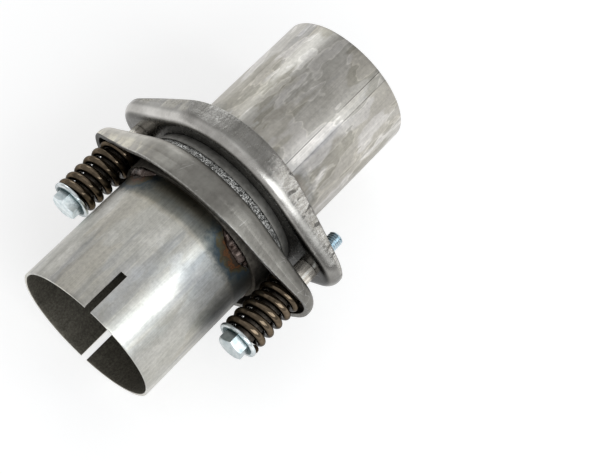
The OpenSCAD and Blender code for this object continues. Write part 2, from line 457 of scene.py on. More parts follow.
# %% Mill finish
mill, given = group("mill finish", {"Pale": WHITE, "Dark": WHITE})
wide = use(mill, streaks, given["Position"], Across=170.0, Along=7.0)["Value"]
thin = use(mill, streaks, given["Position"], Across=1900.0, Along=22.0)["Value"]
soft = noise(mill, given["Position"], 75.0, 4.0, 0.55)
dust = noise(mill, given["Position"], 520.0, 5.0, 0.75)
tone = mix(mill, stretch(mill, wide, 0.36, 0.64), given["Dark"], given["Pale"])
tone = shade(mill, tone, ramp(mill, soft, [(0.34, (0.93, 0.93, 0.92)), (0.66, (1.05, 1.05, 1.06))]), 0.8)
tone = shade(mill, tone, ramp(mill, thin, [(0.32, 0.8), (0.5, 0.98), (0.68, 1.1)]), 0.6)
tone = shade(mill, tone, ramp(mill, dust, [(0.36, 0.86), (0.5, 1.0), (0.64, 1.12)]), 0.8)
give(mill, Color=tone, Wide=wide, Thin=thin, Soft=soft)
print("group:", mill.name)

# %% [markdown]
# Cleaning left two layers of patches. The second has a rim of another tone,
# as a dried drop has. Dark stains run along X.

# %% Dried films
films, given = group("dried films", {
    "Color": WHITE, "Size": 50.0, "Film": WHITE, "Drip size": 85.0, "Drip": WHITE, "Drip rim": 1.0,
})
moved = vector(films, "ADD", given["Position"], (0.31, 0.17, 0.23))
cloud = use(films, patches, given["Position"], Size=given["Size"], Crispness=0.02)["Value"]
drips = use(films, patches, moved, Size=given["Drip size"], Crispness=0.02)["Value"]
stain = use(films, streaks, moved, Across=70.0, Along=7.0)["Value"]
tone = shade(films, shade(films, given["Color"], given["Film"], cloud), given["Drip"], drips)
at_rim = ramp(films, drips, [(0.0, 0.0), (0.25, 1.0), (0.6, 1.0), (1.0, 0.0)])
tone = shade(films, tone, mix(films, at_rim, (1.0, 1.0, 1.0), given["Drip rim"]))
tone = shade(films, tone, (0.80, 0.81, 0.84), fade(films, stain, 0.56, 0.64))
give(films, Color=tone, Cloud=cloud)
print("group:", films.name)

# %% [markdown]
# Round the pipe the tone changes in broad lengthwise zones, partly film and
# partly painted highlight and shade where the lamps are reflected, so a
# material needs to know its place on the way round. The angle about X gives
# it, with the soft noise added so that no zone has a straight border.

# %% Place round the pipe
around, given = group("place round the pipe", {"Soft": 0.5})
place = node(around, "SeparateXYZ", given["Position"]).outputs
turn = calc(around, "ARCTAN2", place[2], place[1])
ragged = calc(around, "MULTIPLY_ADD", given["Soft"], 0.5, turn)
give(around, Turn=turn, Share=stretch(around, ragged, 0.25 - math.pi, 0.25 + math.pi))
print("group:", around.name)

# %% [markdown]
# The side that lies to the right is greyer and duller near the flange. Its
# underside there gets painted shade on the socket, where the spring is
# reflected, and painted light on the spigot. Both masks follow the height of Y.
# `Side` is -1 for the socket and 1 for the spigot, and `Reach` is how far
# along the pipe the grey goes.

# %% Low side
low_side, given = group("low side by the flange", {
    "Soft": 0.5, "Side": 1.0, "Reach": 0.07, "Grey from": -0.01, "Under from": -0.02,
})
place = node(low_side, "SeparateXYZ", given["Position"]).outputs
ragged_y = calc(low_side, "MULTIPLY_ADD", given["Soft"], 0.012, place[1])
along = calc(low_side, "MULTIPLY", place[0], given["Side"])
by_flange = fade(low_side, along, given["Reach"], 0.042)
grey = calc(low_side, "MULTIPLY", fade(low_side, ragged_y, given["Grey from"], -0.021), by_flange)
deeper = calc(low_side, "SUBTRACT", given["Under from"], 0.005)
under = calc(low_side, "MULTIPLY", fade(low_side, ragged_y, given["Under from"], deeper), by_flange)
give(low_side, Grey=grey, Under=under)
print("group:", low_side.name)

# %% [markdown]
# The spigot tube was rolled from strip, and its seam was planed flat. That
# left a paler strip with a broken dark line at each edge.

# %% Seam of the spigot tube
seam_turn, seam_half = 125, 3.9


def planed_seam(tree, turn, thin, tone):
    off = calc(tree, "ABSOLUTE", calc(tree, "SUBTRACT", turn, math.radians(seam_turn)))
    edge, near, far = (math.radians(seam_half + more) for more in (0.0, -0.5, 0.5))
    strip = stretch(tree, off, math.radians(seam_half + 0.25), math.radians(seam_half - 0.25))
    tone = shade(tree, tone, (1.22, 1.22, 1.22), strip)
    line = calc(tree, "MULTIPLY", fade(tree, off, near, edge), fade(tree, off, far, edge))
    broken = calc(tree, "MULTIPLY", line, stretch(tree, thin, 0.42, 0.5))
    return mix(tree, broken, tone, (0.07, 0.065, 0.06))


print("seam at", seam_turn, "degrees")

# %% [markdown]
# Now the layers are stacked, and the heat of the welds comes last because it
# lies over everything else. Films and the grey low side also make the steel
# a little rougher, which widens its highlight.

# %% Pipe steel
def bead_centre(side, radius):
    turn, toe = math.radians(weld_turns[0]), face_x + neck_depth + 2.0
    return side * toe * MM, radius * math.cos(turn) * MM, radius * math.sin(turn) * MM


def pipe_steel(name, side, radius, look, seam=False):
    material, tree, shader, position = metal(name)
    tube = use(tree, mill, position, Pale=look["pale"], Dark=look["dark"])
    filmed = use(tree, films, position, Color=tube["Color"], **look["film"])
    place = use(tree, around, position, Soft=tube["Soft"])
    # zones round the pipe: partly film, partly painted highlight and shade
    zones = ramp(tree, place["Share"], [(at / 360 + 0.5, depth) for at, depth in look["zones"]])
    low = use(tree, low_side, position, Soft=tube["Soft"], Side=side, **look["low side"])
    tone = shade(tree, shade(tree, filmed["Color"], zones), look["grey"], low["Grey"])
    # painted underside: darker on the socket, lighter on the spigot
    tone = shade(tree, tone, look["under"], low["Under"])
    if seam:
        tone = planed_seam(tree, place["Turn"], tube["Thin"], tone)
    marks = use(tree, scratches, position, Turn=(0.0, 0.0, 0.1), Amount=0.6)["Value"]
    tone = mix(tree, calc(tree, "MULTIPLY", marks, 0.35), tone, (0.75, 0.75, 0.74))
    # heat tint and painted reflection of the flange, near the weld end
    tone = shade(tree, tone, use(tree, band, position, Border=look["hot_to"])["Color"])
    tint = use(tree, heat, position, Bead=bead_centre(side, radius), Reach=0.0175)
    tone = mix(tree, calc(tree, "MULTIPLY", tint["Mask"], look["tint"]), tone, tint["Color"])
    feed(tree, shader["Base Color"], tone)
    rough = stretch(tree, tube["Wide"], 0.3, 0.7, 0.36, 0.29)
    rough = calc(tree, "MULTIPLY_ADD", filmed["Cloud"], 0.05, rough)
    feed(tree, shader["Roughness"], calc(tree, "MULTIPLY_ADD", low["Grey"], 0.28, rough))
    feed(tree, shader["Normal"], use(tree, grain, position, Scale=1800.0, Strength=0.12)["Normal"])
    return material


print("tube steel: pipe_steel")

# %% [markdown]
# The socket tube is pale and yellowish, with a bluish painted highlight where
# the key lamp is reflected. The spigot tube is darker and more patchy. The
# zones round each tube are partly film and partly painted highlight and shade.
# Each is (degrees from +Y, depth), where a depth is a grey or a colour to
# multiply by.

# %% The two tubes
socket_look = {
    "pale": (0.66, 0.635, 0.57), "dark": (0.60, 0.575, 0.51), "hot_to": 0.0325, "tint": 0.9,
    "film": {"Size": 42.0, "Film": (1.04, 1.06, 1.1), "Drip size": 90.0, "Drip": (0.93, 0.93, 0.92),
             "Drip rim": 1.06},
    "zones": [(-180, 0.9), (-90, 0.95), (0, 1.0), (25, 1.0), (45, 0.66), (58, 0.95), (75, 0.98), (90, 0.9),
              (98, 1.04), (108, (1.12, 1.15, 1.2)), (120, (1.0, 1.05, 1.12)), (134, (0.95, 0.98, 1.03)),
              (148, 0.74), (165, 0.82), (180, 0.76)],
    "low side": {"Reach": 0.066, "Grey from": -0.013, "Under from": -0.0275},
    "grey": (0.68, 0.70, 0.74), "under": (0.75, 0.75, 0.75),
}
spigot_look = {
    "pale": (0.575, 0.555, 0.515), "dark": (0.50, 0.48, 0.44), "hot_to": 0.0245, "tint": 0.3,
    "film": {"Size": 52.0, "Film": (0.79, 0.78, 0.74), "Drip size": 80.0, "Drip": (1.2, 1.2, 1.23),
             "Drip rim": 1.25},
    "zones": [(-180, 1.0), (-90, 0.95), (0, 0.95), (45, 0.97), (58, 1.15), (68, 0.92), (76, 0.78), (92, 0.74),
              (105, 1.05), (116, 1.15), (128, 1.15), (133, 1.2), (140, 1.1), (150, 0.95), (180, 1.0)],
    "low side": {"Reach": 0.085, "Grey from": -0.009, "Under from": -0.021},
    "grey": (0.64, 0.64, 0.65), "under": (1.5, 1.5, 1.5),
}
socket_steel = pipe_steel("socket pipe steel", -1, socket_r, socket_look)
spigot_steel = pipe_steel("spigot pipe steel", 1, spigot_r, spigot_look, seam=True)
print("materials:", socket_steel.name, "and", spigot_steel.name)

# %% [markdown]
# ### Bore steel
#
# Inside, the tube keeps a dark, speckled scale that never gets rubbed off. It
# is rougher and less metallic than the outside, so it needs its own material.

# %% Bore steel
bore_steel, tree, shader, position = metal("bore steel", metallic=0.7, roughness=0.55)
specks = noise(tree, position, 900.0, 6.0, 0.7)
scale_tones = [(0.36, (0.085, 0.078, 0.062)), (0.5, (0.135, 0.125, 0.101)), (0.66, (0.2, 0.188, 0.155))]
tone = ramp(tree, specks, scale_tones)
along = use(tree, streaks, position, Across=300.0, Along=14.0)["Value"]
feed(tree, shader["Base Color"], shade(tree, tone, ramp(tree, along, [(0.35, 0.7), (0.65, 1.2)]), 0.5))
feed(tree, shader["Normal"], use(tree, grain, position, Scale=1300.0, Strength=0.2)["Normal"])
print("material:", bore_steel.name)

# %% [markdown]
# ### Pressed steel
#
# The flanges are pressed from one sheet, and each part of a pressing gets its
# own tone. The masks are worked out from the depth behind the face and the
# radius, so they fit any flange of this shape: the skirt, the bend that gets a
# painted highlight, the flat front that gets painted shade, and the line at
# the seat that gets a painted shadow.

# %% Parts of a pressing
pressing, given = group("parts of a pressing", {"Side": 1.0})
x = node(pressing, "SeparateXYZ", given["Position"]).outputs[0]
depth = calc(pressing, "MULTIPLY", calc(pressing, "MULTIPLY", x, 1 / MM), given["Side"])
radius = vector(pressing, "LENGTH", vector(pressing, "MULTIPLY", given["Position"], (0.0, 1 / MM, 1 / MM)))
rise = fade(pressing, depth, face_x + 0.5, face_x + 1.8)
fall = fade(pressing, depth, face_x + 6.0, face_x + 3.5)
front = fade(pressing, depth, face_x + 1.6, face_x + 0.2)
by_seat = fade(pressing, radius, cup_foot_r + 1.1, cup_foot_r + 0.5)
give(pressing, Skirt=fade(pressing, depth, face_x + 5.0, face_x + 8.5), Front=front,
     Bend=calc(pressing, "MULTIPLY", rise, fall), Seat=calc(pressing, "MULTIPLY", front, by_seat))
print("group:", pressing.name)

# %% [markdown]
# The sheet is cloudy and mottled. Its tone changes from the right ear over
# the middle to the left ear, as painted light and shade: lighter where the
# lamps leave the sheet in shade, darker where the key lamp lights it. `Across`
# is Y with a soft noise added, so that no change of tone has a straight
# border. The bend gets a painted highlight between the ears, and the flat
# front gets painted shade.

# %% Sheet colour
sheet_tone, given = group("sheet colour", {
    "Side": 1.0, "Pale": WHITE, "Dark": WHITE, "Marks": 0.5, "Right": 1.0, "Middle": 1.0, "Left": 1.0,
    "Front right": 1.0, "Front left": 1.0, "Shine": WHITE,
})
tree, position = sheet_tone, given["Position"]
parts = use(tree, pressing, position, Side=given["Side"])
y = node(tree, "SeparateXYZ", position).outputs[1]
across = calc(tree, "MULTIPLY_ADD", noise(tree, position, 70.0, 4.0, 0.6), 0.02, y)
cloud = use(tree, patches, position, Size=90.0, Crispness=0.2)["Value"]
mottle = noise(tree, position, 330.0, 6.0, 0.7)
mottled = ramp(tree, mottle, [(0.34, 0.74), (0.5, 1.0), (0.64, 1.12)])
tone = mix(tree, cloud, given["Dark"], given["Pale"])
tone = shade(tree, tone, mottled, calc(tree, "MULTIPLY_ADD", given["Marks"], -0.5, 0.75))
# painted light and shade from the right ear to the left ear
level = stretch(tree, across, -0.045, 0.01, given["Right"], given["Middle"])
tone = shade(tree, tone, stretch(tree, across, 0.01, 0.065, level, given["Left"]))
# painted shade on the flat front face between the flanges, darker to the right
front = stretch(tree, across, -0.04, -0.005, given["Front right"], given["Front left"])
tone = shade(tree, tone, front, parts["Front"])
off_ear = stretch(tree, across, -0.038, -0.026, 0.1, 1.0)
# painted highlight along the bend, kept off the right ear
polished = calc(tree, "MULTIPLY", stretch(tree, across, 0.06, 0.0, 0.95, 1.0), off_ear)
tone = shade(tree, tone, given["Shine"], calc(tree, "MULTIPLY", polished, parts["Bend"]))
# painted shadow in the gap where the cup meets the flange face
tone = mix(tree, parts["Seat"], tone, (0.012, 0.011, 0.01))
give(tree, Color=tone, Mottle=mottle, Across=across, Skirt=parts["Skirt"])
print("group:", sheet_tone.name)

# %% [markdown]
# On the skirt the sheet slid through the press. Draw marks and dark gouges
# are strongest at the lower right, with rubbed bare metal between them that
# also carries a painted highlight, and the left ear has pale spots. `Marks`
# sets how hard a flange was drawn.

# %% Worn skirt
worn, given = group("worn skirt", {
    "Color": WHITE, "Skirt": 1.0, "Across": 0.0, "Marks": 0.5, "Bare": WHITE,
})
tree, position, skirt, marks = worn, given["Position"], given["Skirt"], given["Marks"]
low_right = fade(tree, given["Across"], -0.004, -0.022)
marked = calc(tree, "MULTIPLY", skirt, stretch(tree, low_right, 0.0, 1.0, 0.3, 1.0))
strength = calc(tree, "MULTIPLY_ADD", marks, -0.12, 0.16)
fine = use(tree, grain, position, Scale=900.0, Strength=strength)["Normal"]
pulled = use(tree, drawn, position, Strength=calc(tree, "MULTIPLY_ADD", marked, marks, 0.03), Normal=fine)
stained = calc(tree, "MULTIPLY", calc(tree, "MULTIPLY", marked, pulled["Value"]), marks)
tone = mix(tree, stained, given["Color"], (0.15, 0.14, 0.12))
slanted = node(tree, "Mapping", position, None, (0.5, 0.0, 0.5), (0.3, 1.0, 1.0)).outputs[0]
sharp = fade(tree, noise(tree, slanted, 330.0, 4.0, 0.62), 0.56, 0.6)
gouged = calc(tree, "MULTIPLY", calc(tree, "MULTIPLY", sharp, marked), marks)
tone = mix(tree, gouged, tone, (0.10, 0.095, 0.088))
# rubbed bare metal, brightened further as a painted highlight
rubbed = calc(tree, "MULTIPLY", low_right, skirt)
tone = shade(tree, tone, given["Bare"], calc(tree, "SUBTRACT", rubbed, gouged, clamp=True))
moved = vector(tree, "ADD", position, (0.12, 0.33, 0.21))
spots = use(tree, patches, moved, Size=210.0, Crispness=0.07)["Value"]
spots = calc(tree, "MULTIPLY", spots, fade(tree, given["Across"], 0.028, 0.045, 0.0, 0.75))
tone = shade(tree, tone, (1.5, 1.48, 1.38), calc(tree, "MULTIPLY", spots, skirt))
give(tree, Color=tone, Normal=pulled["Normal"])
print("group:", worn.name)

# %% [markdown]
# The two flanges come from the same press, yet the socket flange is dull and
# nearly even, and the spigot flange has a strong painted highlight on its
# bend and the hard draw marks. So both place the same groups, each with its
# own values.

# %% The two pressings
def pressed_steel(name, side, marks, bare, rough, look):
    material, tree, shader, position = metal(name)
    pressed = use(tree, sheet_tone, position, Side=side, Marks=marks, **look)
    skirt = use(tree, worn, position, Color=pressed["Color"], Skirt=pressed["Skirt"],
                Across=pressed["Across"], Marks=marks, Bare=bare)
    lines = use(tree, scratches, position, Turn=(0.0, 0.0, 0.45), Amount=0.57)["Value"]
    tone = mix(tree, calc(tree, "MULTIPLY", lines, 0.6), skirt["Color"], (0.72, 0.71, 0.69))
    feed(tree, shader["Base Color"], tone)
    feed(tree, shader["Roughness"], stretch(tree, pressed["Mottle"], 0.3, 0.7, *rough))
    feed(tree, shader["Normal"], skirt["Normal"])
    return material


socket_sheet = pressed_steel(
    "socket flange steel", -1, marks=0.18, bare=(1.0, 1.0, 1.0), rough=(0.40, 0.5),
    look={"Pale": (0.30, 0.29, 0.265), "Dark": (0.23, 0.22, 0.2), "Right": 0.88, "Middle": 0.86, "Left": 2.2,
          "Front right": 0.62, "Front left": 0.62, "Shine": (1.1, 1.1, 1.1)})
spigot_sheet = pressed_steel(
    "spigot flange steel", 1, marks=0.75, bare=(2.5, 2.5, 2.52), rough=(0.22, 0.30),
    look={"Pale": (0.36, 0.35, 0.33), "Dark": (0.25, 0.242, 0.226), "Right": 0.72, "Middle": 1.0, "Left": 0.92,
          "Front right": 0.15, "Front left": 0.55, "Shine": (2.0, 2.0, 2.02)})
print("materials:", socket_sheet.name, "and", spigot_sheet.name)

# %% [markdown]
# ### Plain metals
#
# The small pieces need one cloudy tone between a pale and a dark colour, and
# a grain. What is special about a finish comes as a list of effects. An
# effect is a function that gets the colour so far and gives it back changed.

# %% Plain metals
def plain_metal(name, pale, dark, cloud_scale, roughness, metallic=1.0, relief=0.1, grain_scale=1600.0,
                rim=1.0, effects=()):
    material, tree, shader, position = metal(name, metallic, roughness, rim)
    tone = ramp(tree, noise(tree, position, cloud_scale, 5.0, 0.62), [(0.36, dark), (0.62, pale)])
    for effect in effects:
        tone = effect(tree, position, tone)
    feed(tree, shader["Base Color"], tone)
    feed(tree, shader["Normal"], use(tree, grain, position, Scale=grain_scale, Strength=relief)["Normal"])
    return material


print("plain metals start with plain_metal()")

# %% [markdown]
# A darkening near an axis along X stands for painted shadow and shade: the
# shadow of a bolt head on its washer, and the shade on the inner side of a
# coil. Y is folded, so one axis serves both bolts. A second group tells how
# far a point is from the right bolt to the left one, for tones that change
# that way; here they are painted light and shade.

# %% Shared masks of the small pieces
near_axis, given = group("dirt near an axis", {
    "Axis": 0.0, "Clean": 0.01, "Dirty": 0.009, "Ragged": 0.0,
})
axis = node(near_axis, "CombineXYZ", 0.0, given["Axis"], 0.0).outputs[0]
apart = vector(near_axis, "SUBTRACT", vector(near_axis, "ABSOLUTE", given["Position"]), axis)
apart = vector(near_axis, "LENGTH", vector(near_axis, "MULTIPLY", apart, (0.0, 1.0, 1.0)))
frayed = noise(near_axis, given["Position"], 500.0, 3.0)
edge = calc(near_axis, "MULTIPLY_ADD", frayed, given["Ragged"], apart)
give(near_axis, Mask=fade(near_axis, edge, given["Clean"], given["Dirty"]))

bolt_to_bolt, given = group("bolt to bolt", {})
y = node(bolt_to_bolt, "SeparateXYZ", given["Position"]).outputs[1]
give(bolt_to_bolt, Share=stretch(bolt_to_bolt, y, -0.07, 0.07))
print("groups:", near_axis.name, "and", bolt_to_bolt.name)

# %% [markdown]
# Three effects are enough for the small metals. Two place the groups above.
# The third paints lengthwise bands of reflection round the axis of a bolt, and
# only one metal has it, so it needs no group.

# %% Effects
def dirt_near(centre_y, clean_r, dirt_r, dirt, ragged=0.0):
    """Multiplies by darkening inside dirt_r, and fades out at clean_r: painted shade on a coil, a painted
    shadow on a washer.
    """
    def effect(tree, position, tone):
        mask = use(tree, near_axis, position, Axis=centre_y * MM, Clean=clean_r * MM, Dirty=dirt_r * MM,
                   Ragged=ragged * MM)["Mask"]
        return shade(tree, tone, dirt, mask)
    return effect


def shade_across(stops):
    """Multiplies by stops of (y in millimetres, value)."""
    def effect(tree, position, tone):
        share = use(tree, bolt_to_bolt, position)["Share"]
        return shade(tree, tone, ramp(tree, share, [(at / 140 + 0.5, value) for at, value in stops]))
    return effect


def bands_round_bolt(stops):
    """Multiplies by stops of (degrees, value) round the axis of each bolt: painted reflections."""
    def effect(tree, position, tone):
        place = node(tree, "SeparateXYZ", position).outputs
        outwards = calc(tree, "SUBTRACT", calc(tree, "ABSOLUTE", place[1]), bolt_y * MM)
        share = stretch(tree, calc(tree, "ARCTAN2", place[2], outwards), -math.pi, math.pi)
        return shade(tree, tone, ramp(tree, share, [(at / 360 + 0.5, value) for at, value in stops]))
    return effect


print("effects: dirt_near, shade_across, bands_round_bolt")

# %% [markdown]
# ### Zinc on bolts and washers
#
# Clear zinc plate is bluish white. The threads keep more of the blue, and the
# washers have a painted shadow of the bolt head, a dark ring round each head.

# %% Zinc
# painted light: the left bolt's zinc is lighter than the right's
zinc = plain_metal("zinc plate", (0.70, 0.75, 0.76), (0.42, 0.50, 0.52), 230.0, 0.31,
                   effects=[shade_across([(-60, 0.85), (60, 1.3)])])
thread_zinc = plain_metal("zinc on the threads", (0.62, 0.74, 0.81), (0.38, 0.49, 0.55), 400.0, 0.28)
# painted shadow of the bolt head on the washer
washer_zinc = plain_metal("zinc on the washers", (0.86, 0.90, 0.91), (0.62, 0.69, 0.71), 200.0, 0.25, rim=0.6,
                          effects=[dirt_near(bolt_y, 9.9, 9.3, (0.07, 0.11, 0.115), ragged=1.2)])
print("materials:", zinc.name, "+", thread_zinc.name, "+", washer_zinc.name)

# %% [markdown]
# ### Oiled springs and turned sleeves
#
# The springs are brown, oily wire: dark and smooth, with painted shade on the
# inner side of the coil. The sleeves are bright where the springs don't cover
# them, and painted dark as shade inside the springs. The bands stand for the
# lengthwise reflections of a turned surface that its surroundings would give
# it.

# %% Spring wire and sleeves
# painted shade on the inner side of each coil
spring_wire = plain_metal("spring wire", (0.19, 0.146, 0.102), (0.10, 0.077, 0.053), 260.0, 0.14, 0.95,
                          rim=0.45, effects=[dirt_near(bolt_y, 10.8, 8.8, (0.14, 0.13, 0.115))])
bright_bands = [(-180, 0.6), (-20, 0.6), (0, 0.75), (15, 0.6), (30, 0.95), (40, 0.7), (47, 1.0), (56, 1.2),
                (64, 1.2), (71, 0.6), (82, 1.0), (100, 0.95), (110, 0.6), (118, 1.0), (130, 1.0),
                (138, 0.55), (180, 0.6)]
turned_steel = plain_metal("turned steel", (1.0, 0.94, 0.84), (0.9, 0.83, 0.74), 420.0, 0.27, 0.75,
                           rim=0.8, effects=[bands_round_bolt(bright_bands)])
oily_steel = plain_metal("oiled steel in the springs", (0.12, 0.10, 0.08), (0.06, 0.05, 0.04),
                         300.0, 0.5, 0.6)
nut_steel = plain_metal("nut steel", (0.4, 0.385, 0.36), (0.24, 0.225, 0.205), 500.0, 0.36)
print("materials:", spring_wire.name, "+", turned_steel.name, "+", oily_steel.name, "+", nut_steel.name)

# %% [markdown]
# ### Seat cup, seal, cut edges and welds
#
# The cup is dark steel. The seal is pale wire over a dark core that is painted
# shade for the gaps between the wires, so its strands sparkle against black
# gaps. The flanges have bare cut edges, and old scale inside. A weld bead is
# dark, glossy and uneven.

# %% Seat, seal, edge and weld metals
dark_steel = plain_metal("seat cup steel", (0.22, 0.214, 0.198), (0.14, 0.136, 0.125), 300.0, 0.5, 0.7)
mesh_wire = plain_metal("seal wire", (1.0, 1.0, 0.98), (0.42, 0.42, 0.40), 900.0, 0.18, 0.4)
mesh_core = plain_metal("seal core", (0.16, 0.16, 0.15), (0.02, 0.02, 0.018), 2600.0, 0.5, 0.5,
                        relief=1.0, grain_scale=2300.0)
# painted light and shade along the cut edge: darker at both ears, lighter between
cut_edge = plain_metal("bare cut edge", (0.50, 0.49, 0.465), (0.30, 0.29, 0.27), 600.0, 0.38, rim=0.7,
                       effects=[shade_across([(-70, 0.6), (-30, 0.6), (30, 1.4), (44, 1.4),
                                              (52, 0.35), (70, 0.25)]),
                                dirt_near(0.0, 47.5, 46.0, (0.2, 0.19, 0.18))])
scale_skin = plain_metal("scale inside the flanges", (0.12, 0.11, 0.095), (0.06, 0.055, 0.048),
                         500.0, 0.5, 0.95, relief=0.25, rim=0.3)
weld_metal = plain_metal("weld metal", (0.12, 0.095, 0.085), (0.02, 0.012, 0.009), 210.0, 0.2, relief=0.6)
print("materials so far:", len(bpy.data.materials))

# %% [markdown]
# ## Pipes
#
# A pipe is thin tube, and the socket has two narrow slots that let a clamp
# close it. A cylinder with a solidify and two booleans would do, but a grid
# round and along the tube lands its lines exactly on the slots and the seam.

# %% Grid lines of a pipe
slot_width, slot_length = 3.5, 23.5


def pipe_turns(outer, slots, seam):
    """Angles of the grid lines, and half the angle of a slot."""
    half = math.degrees(slot_width / 2 / outer)
    turns = list(np.arange(0, 360, 2.5))
    for slot in slots:
        turns = [t for t in turns if abs((t - slot + 180) % 360 - 180) > half + 0.4]
        turns += [slot - half, slot + half]
    for at in (seam_turn - seam_half, seam_turn + seam_half) if seam else ():
        turns = [t for t in turns if abs(t - at) > 0.6] + [at - 0.2, at + 0.2]
    return sorted(t % 360 for t in turns), half


def pipe_stops(x0, x1, slots):
    """X of the grid lines, with one at the end of the slots."""
    stops = list(np.linspace(x0, x1, 46))
    if slots:
        stops = sorted([s for s in stops if abs(s - x0 - slot_length) > 0.8] + [x0 + slot_length])
    return stops


print("slots:", slot_width, "by", slot_length, "mm")

# %% [markdown]
# The outer and the inner skin share that grid. A wave of a few hundredths of
# a millimetre lets the reflections wander, as they do on rolled tube, and the
# planed seam lies a little lower.

# %% Skins of a pipe
def pipe_skins(outer, wall, turns, stops, seam):
    a, x = np.radians(turns)[:, None], np.array(stops)[None, :]
    wave = 0.03 * np.sin(3 * a + 0.045 * x) + 0.025 * np.sin(7 * a - 0.02 * x + 1.0)
    wave = wave + 0.02 * np.sin(0.13 * x + 2 * a)
    outside = outer - 0.08 + wave
    if seam:
        planed = np.abs((np.array(turns) - seam_turn + 180) % 360 - 180) < seam_half
        outside = outside - 0.07 * planed[:, None]
    skins = []
    for r in (outside, outside - wall + 0.08):
        grid = np.empty((len(turns), len(stops), 3))
        grid[..., 0] = x
        grid[..., 1] = r * np.cos(a)
        grid[..., 2] = r * np.sin(a)
        skins.append(grid.reshape(-1, 3))
    return np.concatenate(skins)


print("pipe shape: pipe_skins")

# %% [markdown]
# Cells of the grid that lie in a slot are left out. Wherever a cell has no
# neighbour, a wall joins the two skins, so the slots show the real thickness
# of the tube. Faces of the inner skin get the bore steel.

# %% Faces of a pipe
def pipe_faces(solid):
    """Faces of both skins and of the walls between them, and which lie in the bore."""
    n, m = solid.shape[0], solid.shape[1] + 1
    faces, in_bore = [], []

    def at(i, j, skin):
        return skin * n * m + (i % n) * m + j

    def add(face, inner=0):
        faces.append(face)
        in_bore.append(inner)

    for i in range(n):
        for j in range(m - 1):
            if not solid[i, j]:
                continue
            add((at(i, j, 0), at(i, j + 1, 0), at(i + 1, j + 1, 0), at(i + 1, j, 0)))
            add((at(i, j, 1), at(i + 1, j, 1), at(i + 1, j + 1, 1), at(i, j + 1, 1)), 1)
            if j == 0 or not solid[i, j - 1]:
                add((at(i, j, 0), at(i + 1, j, 0), at(i + 1, j, 1), at(i, j, 1)))
            if j == m - 2 or not solid[i, j + 1]:
                add((at(i, j + 1, 0), at(i, j + 1, 1), at(i + 1, j + 1, 1), at(i + 1, j + 1, 0)))
            if not solid[(i - 1) % n, j]:
                add((at(i, j, 0), at(i, j, 1), at(i, j + 1, 1), at(i, j + 1, 0)))
            if not solid[(i + 1) % n, j]:
                add((at(i + 1, j, 0), at(i + 1, j + 1, 0), at(i + 1, j + 1, 1), at(i + 1, j, 1)))
    return faces, in_bore


def pipe(name, outer, x0, x1, steel, body, slots=(), seam=False):
    turns, half = pipe_turns(outer, slots, seam)
    stops = pipe_stops(x0, x1, slots)
    next_turns = turns[1:] + turns[:1]
    middles = np.array([(t + ((after - t) % 360) / 2) % 360 for t, after in zip(turns, next_turns)])
    solid = np.ones((len(turns), len(stops) - 1), bool)
    for slot in slots:
        near = np.abs((middles - slot + 180) % 360 - 180) < half
        solid[np.ix_(near, np.array(stops[:-1]) < x0 + slot_length - 0.01)] = False
    faces, in_bore = pipe_faces(solid)
    obj = piece(name, pipe_skins(outer, pipe_wall, turns, stops, seam), faces, steel, 30)
    obj.data.materials.append(bore_steel)
    obj.data.polygons.foreach_set("material_index", in_bore)
    soften(obj, 0.18, angle=60)
    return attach(obj, body)


print("pipe shape: pipe_faces and pipe")

# %% [markdown]
# The socket pipe runs through its flange and the seal, and ends in the cup.
# Its two slots stand almost upright. The spigot pipe starts at the floor of
# the cup and carries the seam.

# %% Both pipes
socket_inner_x, slot_turns = 1.0, (97, 277)
socket = pipe("socket_tube", socket_r, socket_end, socket_inner_x, socket_steel, "socket_side",
              slots=slot_turns)
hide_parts("socket_pipe")
spigot = pipe("spigot_tube", spigot_r, cup_floor_x, spigot_end, spigot_steel, "spigot_side", seam=True)
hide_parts("spigot_pipe")
print("pipes:", len(socket.data.polygons), "and", len(spigot.data.polygons), "faces")

# %% [markdown]
# ## Flanges
#
# Seen along the pipe, a flange is a round middle and two small ears, joined
# by straight lines. Moving that outline inwards by `inset` keeps the same
# centres and shortens each radius, so every ring of points lines up with the
# next one. That is why the whole pressing can be a stack of rings.

# %% Flange outline
body_r, ear_r = 51.93, 15.72


def outline(inset):
    body, ear = body_r - inset, ear_r - inset
    lean = math.acos((body - ear) / bolt_y)

    def arc(centre, r, start, stop, n):
        turn = np.linspace(start, stop, n, endpoint=False)
        return np.stack([centre + r * np.cos(turn), r * np.sin(turn)], 1)

    def line(centre, r, next_centre, next_r, turn, n):
        s = np.linspace(0, 1, n, endpoint=False)[:, None]
        first = np.array([centre + r * math.cos(turn), r * math.sin(turn)])
        last = np.array([next_centre + next_r * math.cos(turn), next_r * math.sin(turn)])
        return first + s * (last - first)

    return np.concatenate([
        arc(bolt_y, ear, -lean, lean, 44),
        line(bolt_y, ear, 0, body, lean, 12),
        arc(0, body, lean, math.pi - lean, 72),
        line(0, body, -bolt_y, ear, math.pi - lean, 12),
        arc(-bolt_y, ear, math.pi - lean, math.pi + lean, 44),
        line(-bolt_y, ear, 0, body, math.pi + lean, 12),
        arc(0, body, math.pi + lean, 2 * math.pi - lean, 72),
        line(0, body, bolt_y, ear, 2 * math.pi - lean, 12),
    ])


print("outline points:", len(outline(0)))

# %% [markdown]
# The rings run from the neck over the face, round the bend and down the
# skirt, over its cut edge, and back inside to the neck. The skirt gets
# shallower towards the ears, because its edge is ground to a wide arc. A
# small crease halfway down is where the press let go of the sheet.

# %% Flange section
bend_r, skirt_depth, edge_arc_r, edge_soft = 6.0, 16.4, 290.0, 0.5
neck_mouth, neck_fillet = 1.6, 2.2


